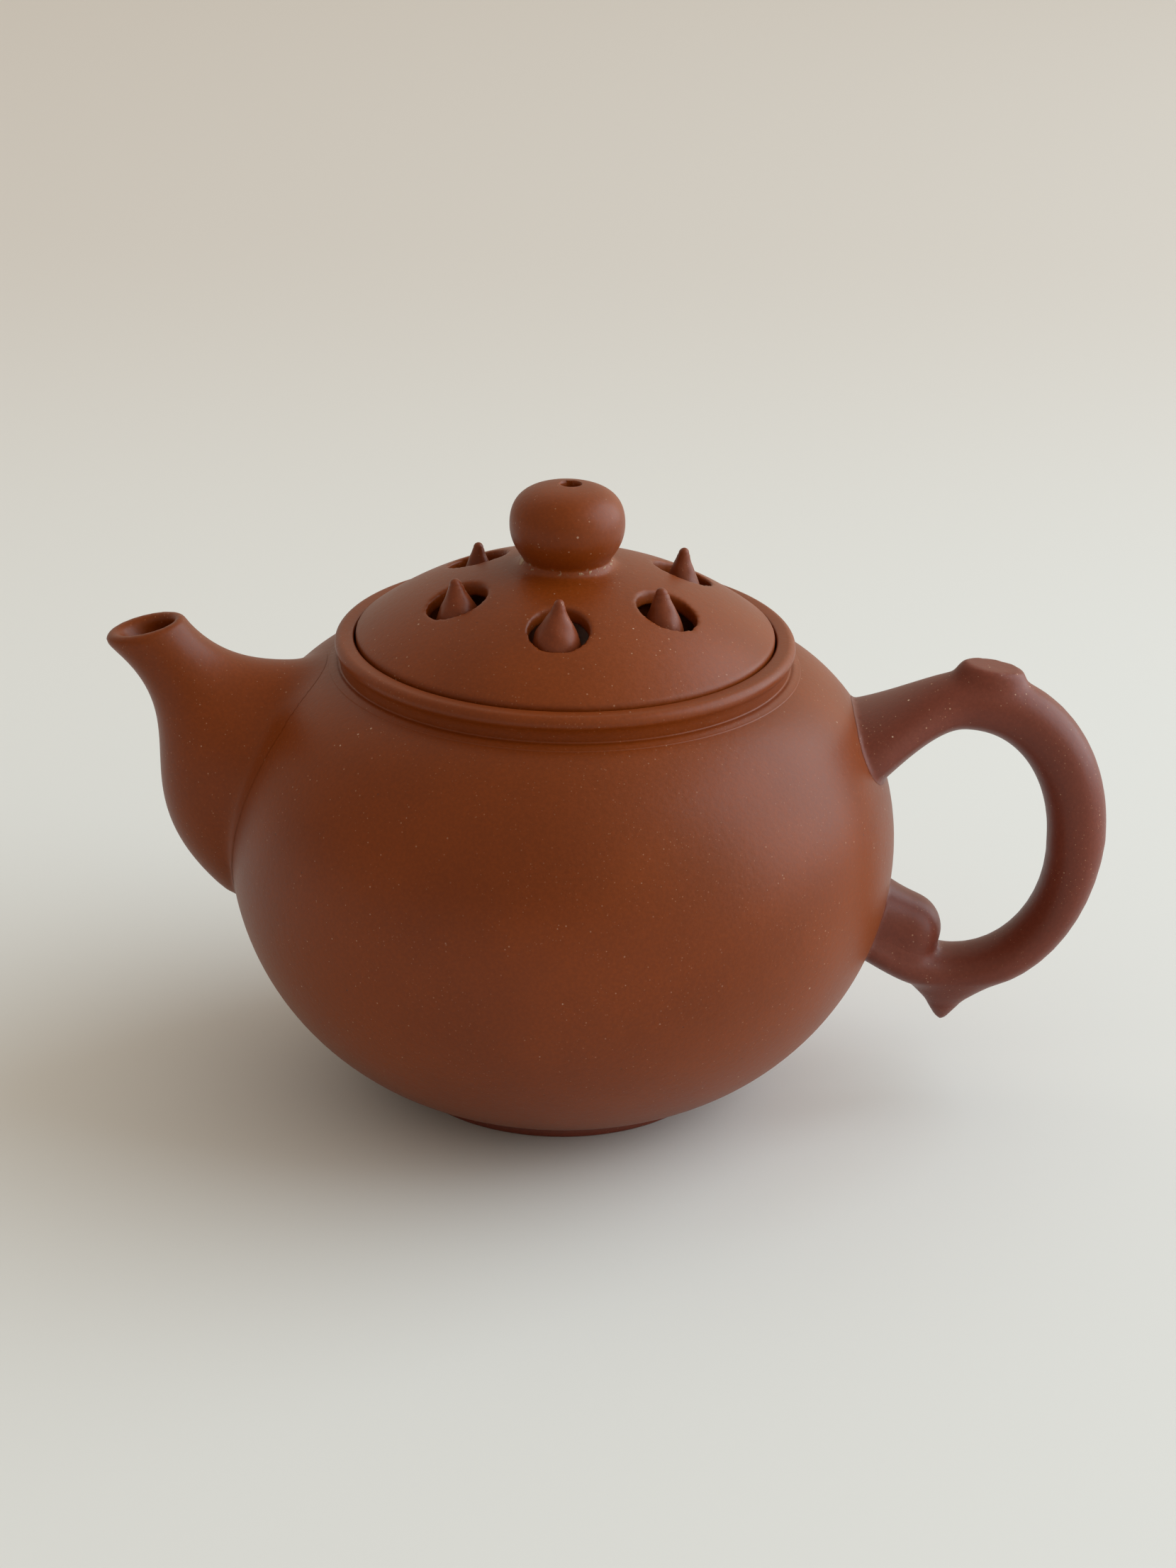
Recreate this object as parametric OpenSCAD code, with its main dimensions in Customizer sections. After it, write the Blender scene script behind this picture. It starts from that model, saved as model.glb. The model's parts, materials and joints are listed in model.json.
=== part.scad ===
// Round stoneware teapot with a loose drop-in lid that carries six loose seeds.
// Millimetres, +Z up. The origin is the middle of the foot ring on the table,
// the spout points along -X and the handle along +X.

/* [Body] */
// Largest radius of the body
belly_r = 55; // [53:0.5:58]
// Height of the largest radius above the table
belly_z = 43; // [42:0.5:45]
// Height of the joint between the shoulder and the rim
shoulder_z = 73.8; // [73:0.2:76]
// Thickness of the clay wall
wall = 3; // [2.4:0.1:3.4]
// Slope of the wall where it leaves the foot, in degrees
foot_slope = 18; // [15:1:21]
// How far the wall keeps that slope
foot_lead = 15.8; // [14:0.2:17]
// How far the wall stays upright below the belly
low_swell = 20; // [18:0.5:22]
// How far the wall stays upright above the belly
high_swell = 15; // [13:0.5:17]
// Slope of the shoulder where it meets the rim, in degrees
shoulder_slope = 16; // [13:1:19]
// How far the shoulder keeps that slope
shoulder_lead = 10.8; // [9:0.2:12]

/* [Foot] */
// Outer radius of the foot ring
foot_r = 26.5; // [25:0.5:29]
// Height of the foot ring
foot_h = 2.1; // [1.6:0.1:3]
// Width of the foot ring
foot_w = 4.5; // [3.5:0.1:6]
// Rounding of the foot ring's lower edges
foot_round = 0.6; // [0.3:0.1:1]
// How far the base disc rests on the foot ring
base_lap = 1; // [0.6:0.1:1.4]

/* [Mouth] */
// Radius of the well that the lid drops into
well_r = 34.3; // [33:0.1:36]
// Width of the rim ring
rim_w = 3.1; // [2.6:0.1:3.6]
// Rounding of the rim's outer edge
rim_round = 1.3; // [1:0.1:1.5]
// Rounding of the rim's inner edge
rim_edge = 0.4; // [0.2:0.1:0.8]
// Height of the rim ring above the shoulder joint
rim_h = 4.6; // [4:0.1:5.5]
// Width of the rim ring at the shoulder joint
rim_base_w = 2.5; // [2:0.1:2.8]
// Depth of the cove between the rim and the shoulder
cove = 0.8; // [0.4:0.1:1.1]
// Width of the lid seat
seat_w = 3.7; // [3:0.1:4.5]
// Depth of the lid seat below the top of the rim
seat_drop = 2.9; // [2.4:0.1:3.4]
// Thickness of the lid seat
seat_t = 3.2; // [2.8:0.1:3.6]

/* [Lid] */
// Gap between the lid and the rim
lid_gap = 0.3; // [0.2:0.05:0.6]
// Height of the dome's edge above the lid seat
lid_edge_h = 3.5; // [3:0.1:4]
// Rounding of the lid's edge
lid_edge_round = 0.6; // [0.4:0.1:1.2]
// Rise of the dome from its edge to its crown
lid_rise = 11.85; // [11:0.05:13]
// Thickness of the dome
lid_t = 2.4; // [2:0.1:2.8]
// Gap between the flange and the mouth opening
flange_gap = 0.4; // [0.2:0.05:0.8]
// Thickness of the flange
flange_w = 2.8; // [2.2:0.1:3.4]
// Depth of the flange below the lid seat
flange_h = 9; // [7:0.5:11]
// Thickness of the seed tray
tray_t = 2; // [1.6:0.1:2.4]
// How far the tray's edge is covered by the dome
tray_lap = 1; // [0.6:0.1:1.2]

/* [Knob] */
// Largest radius of the knob
knob_r = 9.3; // [8.5:0.05:10]
// Height of the knob
knob_h = 13.4; // [12.5:0.05:14.5]
// Height of the knob's largest radius above its foot
knob_mid = 7; // [6:0.1:7.6]
// Radius of the knob's neck
neck_r = 7.3; // [6.5:0.1:8]
// How far the knob's foot flares out from its neck
neck_flare = 0.7; // [0.3:0.1:1.2]
// Diameter of the vent
vent_d = 3.2; // [2.4:0.1:4]

/* [Seeds] */
// Radius of the circle that the seeds stand on
seed_ring_r = 19.7; // [19:0.1:20.4]
// Diameter of a seed hole in the dome
seed_hole_d = 9.6; // [9.2:0.1:10.2]
// Radius of a seed's foot, wider than its hole
seed_foot_r = 5.6; // [5.4:0.1:6]
// Gap round a seed in its hole
seed_gap = 0.4; // [0.3:0.05:0.6]
// Height of a seed
seed_h = 13.2; // [12.2:0.1:14.2]
// Radius of a seed's blunt tip
seed_tip_r = 0.85; // [0.6:0.05:1.1]

/* [Spout] */
// How far the lip stands out from the belly
spout_reach = 19.6; // [17:0.2:23]
// Height of the front of the lip
spout_lip_z = 75.9; // [74:0.1:78]
// Length of the lip from front to back
lip_l = 13.7; // [12:0.1:15]
// Tilt of the lip, in degrees
lip_tilt = 13.5; // [11:0.5:17]
// Width of the lip
lip_w = 12.2; // [10.5:0.1:13.5]
// Thickness of the lip
lip_t = 2.6; // [2.2:0.1:3]
// Height of the lip's rounding
lip_round = 1.3; // [0.8:0.1:1.5]
// Width of the spout's root
spout_root_w = 24.8; // [23:0.2:27]
// Height of the bottom of the spout's root
spout_root_low = 31; // [29:0.2:33]
// Height of the top of the spout's root
spout_root_high = 72.8; // [71:0.2:73.2]
// Thickness of the spout's wall
spout_wall = 2.3; // [1.9:0.1:2.6]

/* [Strainer] */
// Radius of the opening in the wall behind the spout
strain_r = 8.6; // [7.6:0.1:9]
// Outer radius of the strainer's ball
strain_ball_r = 11.3; // [11:0.1:12]
// Thickness of the strainer
strain_t = 1.6; // [1.2:0.1:1.8]
// Diameter of a strainer hole
strain_hole_d = 2; // [1.6:0.1:2.4]
// Distance between strainer holes
strain_pitch = 3.4; // [3:0.1:3.5]

/* [Handle] */
// How far the grip stands out from the belly
handle_reach = 35.4; // [32:0.2:39]
// Height of the widest point of the grip
handle_mid_z = 44; // [42:0.5:46]
// Height of the handle's upper arm, at its middle
handle_top_z = 68.2; // [67:0.2:70]
// Height of the handle's lower arm, at its middle
handle_low_z = 19.6; // [19:0.1:21]
// Distance from the belly to the crest of both arms
handle_crest = 11.3; // [10:0.1:13]
// Thickness of the grip seen from the side
grip_t = 9.8; // [9:0.1:11]
// Draw of the upper bend towards a thicker grip
bend_t = 10.5; // [10:0.1:11.5]
// Width of the grip
grip_w = 11.6; // [10:0.1:13]
// Thickness of the lower arm
arm_t = 7.8; // [7.2:0.1:8.8]
// Thickness of the upper root, inside the wall
root_t = 16.4; // [14:0.2:18]
// Draw of the upper arm towards a thinner waist behind its root
waist_t = 7.8; // [7:0.1:9]
// Width of the upper root
root_w = 24; // [22:0.2:26]
// Width of the lower root
low_root_w = 17; // [15:0.2:19]
// Thickness of the lower root, inside the wall
low_root_t = 6.6; // [6:0.2:8]
// Half length of the thumb rest's flat
thumb_l = 4.8; // [4.2:0.1:5.4]
// Half width of the thumb rest's flat
thumb_w = 3.4; // [2.8:0.1:4]
// Height of the thumb rest above the upper arm
thumb_h = 1; // [0.6:0.1:1.4]
// Height of the spur's tip above the table
spur_z = 10; // [9:0.1:11]
// Radius of the lobe over the lower arm
lobe_r = 6; // [5.6:0.1:6.3]
// Distance from the belly to the middle of the lobe
lobe_out = 3; // [2.4:0.1:3.6]
// Height of the middle of the lobe
lobe_z = 27; // [26.6:0.1:27.8]

/* [Hidden] */
$fn = 96;

clay = "#8f5138";
dark_clay = "#7a4230";
pale_clay = "#a0613f";

// Steps along a profile curve, rings along a swept form and points round a ring
curve_steps = 14;
sweep_steps = 9;
ring_sides = 24;
// Far enough to cut right through any piece
through = 200;

// Each seed was set by hand, so the holes are not quite evenly spaced
seed_angles = [-93, -36, 21, 86, 148, -153];
seed_drifts = [0.7, 0, 0.5, 0, -2.6, -0.3];
// A seed's foot: its chamfer, its height and the height where it fits its hole
seed_edge = 0.7;
seed_foot_h = 1.3;
seed_neck_h = 2.9;
// A seed's flank: share of the radius left in its hole, share of its height
seed_flank = [[1, 0.3], [0.9, 0.48], [0.66, 0.66], [0.43, 0.8], [0.28, 0.9]];

function unit(v) = v / norm(v);
function mix(a, b, t) = a * (1 - t) + b * t;
function ease(t) = t * t * (3 - 2 * t);
function reversed(list) = [for (i = [len(list) - 1:-1:0]) list[i]];

// Cubic curve from p[0] to p[3], drawn out towards p[1] and p[2]
function bez(p, t) =
    pow(1 - t, 3) * p[0] + 3 * pow(1 - t, 2) * t * p[1]
    + 3 * (1 - t) * t * t * p[2] + pow(t, 3) * p[3];
function bez_dir(p, t) =
    unit(pow(1 - t, 2) * (p[1] - p[0]) + 2 * (1 - t) * t * (p[2] - p[1]) + t * t * (p[3] - p[2]));
function bez_points(p, steps, first = 0) = [for (i = [first:steps]) bez(p, i / steps)];
function left_of(d) = [-d[1], d[0]];
function offset_points(p, steps, w, first = 0) =
    [for (i = [first:steps]) bez(p, i / steps) + w * left_of(bez_dir(p, i / steps))];
function arc(c, r, a0, a1, steps = 8) =
    [for (i = [0:steps]) let (a = mix(a0, a1, i / steps)) c + r * [cos(a), sin(a)]];

// Body: two curves from the foot to the belly and on to the shoulder
shoulder_r = well_r + rim_base_w;
low_curve = [
    [foot_r, foot_h],
    [foot_r, foot_h] + foot_lead * [cos(foot_slope), sin(foot_slope)],
    [belly_r, belly_z - low_swell],
    [belly_r, belly_z]
];
high_curve = [
    [belly_r, belly_z],
    [belly_r, belly_z + high_swell],
    [shoulder_r, shoulder_z] + shoulder_lead * [cos(shoulder_slope), -sin(shoulder_slope)],
    [shoulder_r, shoulder_z]
];
low_outer = bez_points(low_curve, curve_steps);
high_outer = bez_points(high_curve, curve_steps);
low_inner = offset_points(low_curve, curve_steps, wall);
high_inner = offset_points(high_curve, curve_steps, wall);
inner_top = high_inner[curve_steps];
well_low_z = inner_top[1] + (inner_top[0] - well_r) * tan(shoulder_slope);
floor_z = low_inner[0][1];
base_r = foot_r - foot_w + base_lap;

// Rim and lid seat
rim_top_z = shoulder_z + rim_h;
mouth_r = well_r - seat_w;
rim_turn = -50;
seat_z = rim_top_z - seat_drop;

// Lid: a spherical dome whose edge hangs in the well
lid_r = well_r - lid_gap;
lid_edge_z = seat_z + lid_edge_h;
dome_r = (lid_r * lid_r + lid_rise * lid_rise) / (2 * lid_rise);
dome_z = lid_edge_z + lid_rise - dome_r;
function dome_at(r, radius) = dome_z + sqrt(radius * radius - r * r);
edge_angle = asin((lid_r - lid_edge_round) / (dome_r - lid_edge_round));
edge_z = dome_at(lid_r - lid_edge_round, dome_r - lid_edge_round);
flange_r = mouth_r - flange_gap;
tray_r = flange_r - flange_w / 2;
tray_top_z = seat_z + tray_t;
chamber_r = tray_r - tray_lap;
vent_r = vent_d / 2;
knob_foot_r = neck_r + neck_flare;
knob_z = dome_at(knob_foot_r, dome_r);

// Spout: one curve under it and one over it, with a ring between each pair of points
root_sink = 0.5;
root_clear = 5.7;
// How far the two curves are drawn out at the root and at the lip
under_pull = [[-22.2, 19.3], [17.4, -14.3]];
over_pull = [[-5.5, -0.8], [5.4, -6.9]];
lip_front = [-belly_r - spout_reach, spout_lip_z];
lip_back = lip_front + lip_l * [cos(lip_tilt), sin(lip_tilt)];
root_low = [-belly_r + root_sink, spout_root_low];
root_high = [-shoulder_r - root_clear, spout_root_high];
spout_under = [root_low, root_low + under_pull[0], lip_front + under_pull[1], lip_front];
spout_over = [root_high, root_high + over_pull[0], lip_back + over_pull[1], lip_back];
root_into = [11, -3];
lip_rise = [-sin(lip_tilt), cos(lip_tilt)];
spout_mid_z = (spout_root_low + spout_root_high) / 2;

// Handle: four quarter curves through the root, crest, grip, lower crest and lower root
round_off = 0.57;
grip_x = belly_r + handle_reach - grip_t / 2;
crest_x = belly_r + handle_crest;
crest = [crest_x, handle_top_z];
grip = [grip_x, handle_mid_z];
low_crest = [crest_x, handle_low_z];
// How far each arm's end lies inside the belly and from its crest's height
high_end = [10, 9.8];
low_end = [7, 8.2];
high_root = [belly_r - high_end[0], handle_top_z - high_end[1]];
low_root = [belly_r - low_end[0], handle_low_z + low_end[1]];
// How far each arm keeps its direction at its end and at its crest
high_lead = [7, 2.8];
low_lead = [7, -4];
crest_lead = [6.6, 0];
bend_x = [(grip_x - crest_x) * round_off, 0];
high_bend = [0, (handle_top_z - handle_mid_z) * round_off];
low_bend = [0, (handle_mid_z - handle_low_z) * round_off];
handle_curves = [
    [high_root, high_root + high_lead, crest - crest_lead, crest],
    [crest, crest + bend_x, grip + high_bend, grip],
    [grip, grip - low_bend, low_crest + bend_x, low_crest],
    [low_crest, low_crest - crest_lead, low_root + low_lead, low_root]
];
handle_t = [
    [root_t, waist_t, waist_t, grip_t],
    [grip_t, bend_t, bend_t, grip_t],
    [grip_t, arm_t, arm_t, arm_t],
    [arm_t, arm_t, low_root_t, low_root_t]
] / 2;
handle_w = [root_w, grip_w, grip_w, grip_w, low_root_w] / 2;
// The thumb rest lies behind the crest and the spur in front of it
thumb_x = crest_x + 3.6;
thumb_tilt = 9;
spur_x = crest_x - 1.45;
spur_drop = handle_low_z - spur_z;
// The lobe's end inside the belly, its rise towards the wall and its spread there
lobe_x = belly_r + lobe_out;
lobe_sink = 8;
lobe_rise = 4.6;
lobe_flare = 0.2;

// A closed ring about c, reaching e in the XZ plane and half as wide as w2 across it
function ring(c, e, w2) =
    [for (i = [0:ring_sides - 1]) let (a = 360 * i / ring_sides)
        [c[0] + e[0] * cos(a), w2 * sin(a), c[1] + e[1] * cos(a)]];

function skin_faces(rows, last) =
    [for (j = [0:last], i = [0:ring_sides - 1])
        let (k = (i + 1) % ring_sides, a = j * ring_sides, b = ((j + 1) % rows) * ring_sides)
        each [[a + i, b + k, b + i], [a + i, a + k, b + k]]];

// A skin over a list of rings, capped at both ends
module loft(rings) {
    rows = len(rings);
    end = (rows - 1) * ring_sides;
    caps = [for (i = [1:ring_sides - 2]) each [[0, i + 1, i], [end, end + i, end + i + 1]]];
    polyhedron([for (r = rings) each r], concat(skin_faces(rows, rows - 2), caps), convexity = 6);
}

// A skin over a list of rings whose last ring joins its first one
module closed_loft(rings) {
    rows = len(rings);
    polyhedron([for (r = rings) each r], skin_faces(rows, rows - 1), convexity = 8);
}

module turned(points) {
    rotate_extrude() polygon(points);
}

module body_solid() {
    turned(concat([[0, foot_h]], low_outer, bez_points(high_curve, curve_steps, 1), [[0, shoulder_z]]));
}

module cavity() {
    turned(concat([[0, floor_z]], low_inner, offset_points(high_curve, curve_steps, wall, 1),
                  [[well_r, well_low_z], [0, well_low_z]]));
}

module spout_opening() {
    translate([-belly_r, 0, spout_mid_z])
        rotate([0, 90, 0])
            cylinder(r = strain_r, h = belly_r, center = true);
}

// The body is made in two halves that are luted together at the belly
module body_lower() {
    color(clay)
    difference() {
        turned(concat([[base_r, foot_h]], low_outer, reversed(low_inner), [[base_r, floor_z]]));
        spout_opening();
    }
}

module body_upper() {
    color(clay)
    difference() {
        turned(concat(high_outer, [[well_r, shoulder_z], [well_r, well_low_z]], reversed(high_inner)));
        spout_opening();
    }
}

module base_disc() {
    color(clay)
    translate([0, 0, foot_h])
        cylinder(r = base_r, h = floor_z - foot_h);
}

module foot_ring() {
    inner = foot_r - foot_w;
    color(dark_clay)
    turned(concat([[inner, foot_h]],
                  arc([inner + foot_round, foot_round], foot_round, 180, 270),
                  arc([foot_r - foot_round, foot_round], foot_round, 270, 360),
                  [[foot_r, foot_h]]));
}

module rim_ring() {
    outer = [well_r + rim_w - rim_round, rim_top_z - rim_round];
    inner = [well_r + rim_edge, rim_top_z - rim_edge];
    low = [shoulder_r, shoulder_z];
    high = outer + rim_round * [cos(rim_turn), sin(rim_turn)];
    third = (high[1] - low[1]) / 3;
    color(clay)
    turned(concat([[well_r, shoulder_z]],
                  bez_points([low, low + [-cove, third], high + [-cove, -third], high], 8),
                  arc(outer, rim_round, rim_turn, 90, 14),
                  arc(inner, rim_edge, 90, 180, 4)));
}

module lid_seat() {
    color(clay)
    turned([[mouth_r, seat_z - seat_t], [well_r, seat_z - seat_t], [well_r, seat_z], [mouth_r, seat_z]]);
}

// Station t along the spout, drawn in by w, as the ring's middle, reach and half width
function spout_ring(t, w) =
    let (a = bez(spout_under, t), b = bez(spout_over, t), e = (a - b) / 2,
         half = mix(spout_root_w, lip_w, ease(t)) / 2)
    ring((a + b) / 2, e * (1 - w / norm(e)), half - w);
function lip_ring(w, up) =
    let (e = (lip_front - lip_back) / 2)
    ring((lip_back + lip_front) / 2 + up * lip_rise, e * (1 - w / norm(e)), lip_w / 2 - w);
function root_ring(w) =
    let (e = (root_low - root_high) / 2)
    ring((root_high + root_low) / 2 + root_into, e * (1 - w / norm(e)), spout_root_w / 2 - w);

module spout() {
    steps = 2 * sweep_steps;
    outer = [for (i = [0:steps]) spout_ring(i / steps, 0)];
    lip = [for (a = [30:30:150]) lip_ring(lip_t / 2 * (1 - cos(a)), lip_round * sin(a))];
    inner = [for (i = [steps:-1:0]) spout_ring(i / steps, mix(spout_wall, lip_t, pow(i / steps, 4)))];
    color(clay)
    difference() {
        closed_loft(concat([root_ring(0)], outer, lip, inner, [root_ring(spout_wall)]));
        body_solid();
    }
}

module strainer() {
    color(pale_clay)
    difference() {
        intersection() {
            translate([-belly_r + wall - 1, 0, spout_mid_z])
                difference() {
                    sphere(r = strain_ball_r);
                    sphere(r = strain_ball_r - strain_t);
                }
            cavity();
        }
        for (row = [-2:2], k = [0:4 - abs(row)])
            translate([0, strain_pitch * (k - 2 + abs(row) / 2), spout_mid_z + row * strain_pitch * sin(60)])
                rotate([0, -90, 0])
                    cylinder(d = strain_hole_d, h = belly_r, $fn = 24);
    }
}

// Middle, direction and half sizes of the handle at step i of quarter q
function handle_ring(q, t) =
    let (c = bez(handle_curves[q], t), across = left_of(bez_dir(handle_curves[q], t)))
    ring(c, across * bez(handle_t[q], t), mix(handle_w[q], handle_w[q + 1], ease(t)));

module handle_sweep() {
    loft([for (q = [0:3], i = [(q == 0 ? 0 : 1):sweep_steps]) handle_ring(q, i / sweep_steps)]);
}

// A flat oval worked up from the top of the upper arm
module thumb_rest() {
    foot = -grip_t / 4;
    rows = [[0, 1], [-0.25, 1.08], [-0.7, 1.16], [-thumb_h - 0.5, 1.26], [foot, 1.3]];
    top_z = handle_top_z + grip_t / 2 + thumb_h;
    translate([thumb_x, 0, top_z])
        rotate([0, thumb_tilt, 0])
            loft([for (r = rows) ring([0, r[0]], [thumb_l * r[1], 0], thumb_w * r[1])]);
}

// A blunt spur drawn down from the lower arm: share of the drop, half length, half width
module spur() {
    rows = [[0, 7.4, 5.4], [0.2, 7.2, 5.1], [0.34, 6.7, 4.6], [0.44, 5.2, 4.1], [0.56, 3.85, 3.4],
            [0.7, 2.65, 2.6], [0.84, 1.7, 1.8], [0.94, 1.05, 1.1], [1, 0.45, 0.5]];
    loft([for (r = rows)
        ring([spur_x + pow(1 - r[0], 2) * 2.4, handle_low_z - spur_drop * r[0]], [r[1], 0], r[2])]);
}

// A round lobe that leans on the wall above the lower arm
module lobe_solid() {
    lean = [belly_r - lobe_sink - lobe_x, 0, lobe_rise];
    translate([lobe_x, 0, lobe_z]) {
        sphere(r = lobe_r);
        rotate([0, -atan2(-lean[0], lean[2]), 0])
            cylinder(r1 = lobe_r, r2 = lobe_r + lobe_flare, h = norm(lean));
    }
}

module handle() {
    color(dark_clay)
    difference() {
        union() {
            handle_sweep();
            thumb_rest();
            spur();
        }
        body_solid();
        lobe_solid();
    }
}

module handle_lobe() {
    color(dark_clay)
    difference() {
        lobe_solid();
        body_solid();
    }
}

// The place of seed i on the tray
module at_seed(i) {
    rotate([0, 0, seed_angles[i - 1]])
        translate([seed_ring_r + seed_drifts[i - 1], 0, tray_top_z])
            children();
}

module lid_dome() {
    first = asin(knob_foot_r / dome_r);
    inside = dome_r - lid_t;
    steps = 2 * curve_steps;
    outer = [for (i = [0:steps]) let (a = mix(first, edge_angle, i / steps))
        [dome_r * sin(a), dome_z + dome_r * cos(a)]];
    inner = [for (i = [0:steps]) let (a = mix(asin(chamber_r / inside), asin(vent_r / inside), i / steps))
        [inside * sin(a), dome_z + inside * cos(a)]];
    color(clay)
    difference() {
        turned(concat([[vent_r, knob_z]], outer,
                      arc([lid_r - lid_edge_round, edge_z], lid_edge_round, 90 - edge_angle, 0),
                      [[lid_r, seat_z], [tray_r, seat_z], [tray_r, tray_top_z], [chamber_r, tray_top_z]],
                      inner));
        for (i = [1:len(seed_angles)])
            at_seed(i) cylinder(d = seed_hole_d, h = through);
    }
}

module lid_flange() {
    inner = flange_r - flange_w;
    low = seat_z - flange_h;
    color(clay)
    turned(concat([[inner, seat_z]], arc([(inner + flange_r) / 2, low + flange_w / 2], flange_w / 2, 180, 360, 12),
                  [[flange_r, seat_z]]));
}

module seed_tray() {
    color(pale_clay)
    translate([0, 0, seat_z])
        difference() {
            cylinder(r = tray_r, h = tray_t);
            cylinder(r = vent_r, h = through, center = true);
        }
}

module knob() {
    flare = arc([neck_r + neck_flare, neck_flare], neck_flare, 270, 180);
    low = [[neck_r, neck_flare], [neck_r, knob_mid * 0.25], [knob_r, knob_mid * 0.5], [knob_r, knob_mid]];
    high = [[knob_r, knob_mid], [knob_r, mix(knob_mid, knob_h, 0.86)], [knob_r * 0.55, knob_h], [0, knob_h]];
    color(clay)
    translate([0, 0, knob_z])
        difference() {
            turned(concat([[0, 0]], flare, bez_points(low, curve_steps, 1), bez_points(high, curve_steps, 1)));
            cylinder(r = vent_r, h = through, center = true);
        }
}

module seed(i) {
    hole_r = seed_hole_d / 2 - seed_gap;
    flank = [for (f = seed_flank) [hole_r * f[0], seed_h * f[1]]];
    tip = [seed_tip_r, seed_h - seed_tip_r * 0.6];
    color(pale_clay)
    at_seed(i)
        turned(concat([[0, 0], [seed_foot_r - seed_edge, 0], [seed_foot_r, seed_edge], [seed_foot_r, seed_foot_h]],
                      [[hole_r, seed_neck_h]], flank, [tip, [seed_tip_r / 2, seed_h], [0, seed_h]]));
}

body_lower();
body_upper();
base_disc();
foot_ring();
rim_ring();
lid_seat();
spout();
strainer();
handle();
handle_lobe();
lid_dome();
lid_flange();
seed_tray();
knob();
for (i = [1:len(seed_angles)])
    seed(i);
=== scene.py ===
import json
import math

import bmesh
import bpy
from mathutils import Matrix, Vector

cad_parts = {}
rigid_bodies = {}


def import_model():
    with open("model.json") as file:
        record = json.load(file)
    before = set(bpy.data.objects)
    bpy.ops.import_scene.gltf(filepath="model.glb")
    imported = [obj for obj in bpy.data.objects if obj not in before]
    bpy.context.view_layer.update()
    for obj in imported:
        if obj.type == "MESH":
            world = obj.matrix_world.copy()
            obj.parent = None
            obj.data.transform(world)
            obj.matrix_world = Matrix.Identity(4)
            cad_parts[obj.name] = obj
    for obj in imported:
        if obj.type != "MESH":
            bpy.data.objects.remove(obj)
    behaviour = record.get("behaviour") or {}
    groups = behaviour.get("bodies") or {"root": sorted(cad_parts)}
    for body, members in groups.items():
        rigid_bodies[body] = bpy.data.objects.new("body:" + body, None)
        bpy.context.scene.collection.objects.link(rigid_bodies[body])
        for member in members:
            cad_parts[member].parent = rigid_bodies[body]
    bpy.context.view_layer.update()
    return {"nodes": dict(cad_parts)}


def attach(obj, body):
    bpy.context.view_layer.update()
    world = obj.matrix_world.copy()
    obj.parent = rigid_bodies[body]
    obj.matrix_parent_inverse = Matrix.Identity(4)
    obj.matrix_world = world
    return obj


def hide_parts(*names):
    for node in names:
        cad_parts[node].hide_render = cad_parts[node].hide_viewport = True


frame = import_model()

# Sizes in millimetres, as in the part's source. The origin is the middle of the foot on the table,
# X runs from the spout to the handle, and Z up.
MM = 0.001
BELLY_R, BELLY_Z = 55.0, 43.0
SHOULDER_Z, SHOULDER_SLOPE = 73.8, math.tan(math.radians(16))
WALL = 3.0
FOOT_R, FOOT_H, FOOT_W, FOOT_ROUND = 26.5, 2.1, 4.5, 0.6
BASE_R = FOOT_R - FOOT_W + 1.0
WELL_R = 34.3
RIM_W, RIM_H, RIM_BASE_W = 3.1, 4.6, 2.5
RIM_ROUND, RIM_EDGE = 1.3, 0.4
RIM_TOP_Z = SHOULDER_Z + RIM_H
SHOULDER_R = WELL_R + RIM_BASE_W
SEAT_Z, SEAT_T, SEAT_W, SEAT_ROUND = RIM_TOP_Z - 2.9, 3.2, 3.7, 0.5
LID_R, LID_RISE, LID_T, LID_EDGE_ROUND = 34.0, 11.85, 2.4, 0.6
LID_EDGE_Z = SEAT_Z + 3.5
DOME_R = (LID_R ** 2 + LID_RISE ** 2) / (2 * LID_RISE)
DOME_Z = LID_EDGE_Z + LID_RISE - DOME_R
TRAY_R, TRAY_TOP_Z, CHAMBER_R = 28.8, SEAT_Z + 2.0, 27.8
KNOB_R, KNOB_H, KNOB_MID, NECK_R = 9.3, 13.4, 7.0, 7.3
KNOB_Z = DOME_Z + math.sqrt(DOME_R ** 2 - (NECK_R + 0.7) ** 2)
CREASE_Z = KNOB_Z + 1.1
VENT_R, VENT_OFF = 1.6, (0.45, 1.2)
SEED_HOLE_R, SEED_H, SEED_FOOT_R, SEED_FOOT_ROUND = 4.8, 13.2, 5.6, 0.7
SEED_RING_R = 19.7
SPOUT_TILT = math.radians(13.5)
SPOUT_ROOT_W, LIP_W, LIP_L = 24.8, 12.2, 13.7
SPOUT_WALL, LIP_T, LIP_ROUND = 2.3, 2.6, 1.3
STRAIN_R, STRAIN_Z = 8.6, 51.9
CREST_X, CREST_Z, CREST_T, LOW_CREST_Z = 66.3, 68.2, 4.9, 19.6
GRIP_X, GRIP_Z = 85.5, 44.0

# How fine the meshes are: steps round a turned piece, sides of a lofted one, steps along the wall,
# and the size of the even skin that worked clay gets
TURN_STEPS, LID_STEPS, KNOB_STEPS, SEED_STEPS = 192, 160, 128, 64
LOFT_SIDES = 48
OUTER_STEPS, INNER_STEPS, CORE_STEPS = 36, 24, 32
SPOUT_SKIN, HANDLE_SKIN, LID_SKIN = 0.4, 0.42, 0.36

# Points nearer than this, in metres, are one point
WELD = 2e-6
# Edges sharper than this stay sharp on a piece that was cut
SHARP = math.radians(40)
# A height above every piece
OVER_ALL_Z = 200.0
# How far a luted piece stays off the wall at its thin edge
JOINT_SKIN = 0.04
# A little less than one round of smoothing draws in the body's wall
WALL_SWELL = 0.0004


def mix(a, b, t):
    return a * (1 - t) + b * t


def ease(t):
    return t * t * (3 - 2 * t)


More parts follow.
